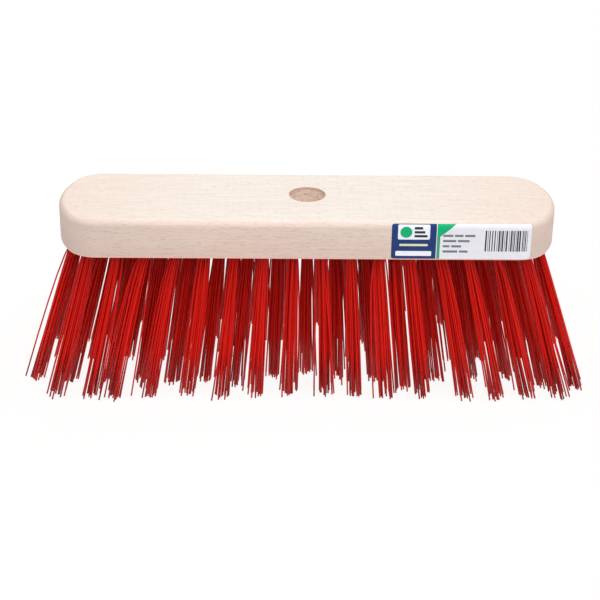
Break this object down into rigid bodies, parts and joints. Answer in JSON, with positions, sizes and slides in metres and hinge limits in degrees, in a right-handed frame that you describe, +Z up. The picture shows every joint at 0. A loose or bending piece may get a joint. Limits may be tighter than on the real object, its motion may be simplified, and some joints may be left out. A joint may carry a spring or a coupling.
{
  "type": "push broom head",
  "caption": "Push broom head: flat wooden block with rounded ends, a round handle socket in the top and staggered rows of stiff red nylon tufts that fan outwards.",
  "frame": {"origin": "centre of the broom head on the surface that the tips of its tufts stand on", "axes": "+X along the block, to the right seen from the labelled front; +Y from the labelled front to the back; +Z up, out of the handle socket"},
  "size_m": [0.3402, 0.1104, 0.111],
  "materials": {
    "wood": "unvarnished pale beech, finely sanded, with short darker flecks",
    "bristle": "smooth red nylon filament with a soft shine",
    "wire": "drawn and flattened steel wire",
    "label": "coated paper, printed with plain panels and bars"
  },
  "bodies": {
    "root": {"block": "wood", "label": "label", "tufts_column_01": "bristle", "tufts_column_02": "bristle", "tufts_column_03": "bristle", "tufts_column_04": "bristle", "tufts_column_05": "bristle", "tufts_column_06": "bristle", "tufts_column_07": "bristle", "tufts_column_08": "bristle", "tufts_column_09": "bristle", "tufts_column_10": "bristle", "tufts_column_11": "bristle", "tufts_column_12": "bristle", "tufts_column_13": "bristle", "tufts_column_14": "bristle", "tufts_column_15": "bristle", "tufts_column_16": "bristle", "tufts_column_17": "bristle", "tufts_column_18": "bristle", "tufts_column_19": "bristle", "tufts_column_20": "bristle", "tufts_column_21": "bristle", "tufts_column_22": "bristle", "tufts_column_23": "bristle", "tufts_column_24": "bristle", "tufts_column_25": "bristle", "tufts_column_26": "bristle", "tufts_column_27": "bristle", "tufts_column_28": "bristle", "tufts_column_29": "bristle", "tufts_column_30": "bristle", "tufts_column_31": "bristle", "tufts_column_32": "bristle", "tufts_column_33": "bristle", "wire_anchors_row_1": "wire", "wire_anchors_row_2": "wire", "wire_anchors_row_3": "wire", "wire_anchors_row_4": "wire", "wire_anchors_row_5": "wire"}
  },
  "joints": []
}
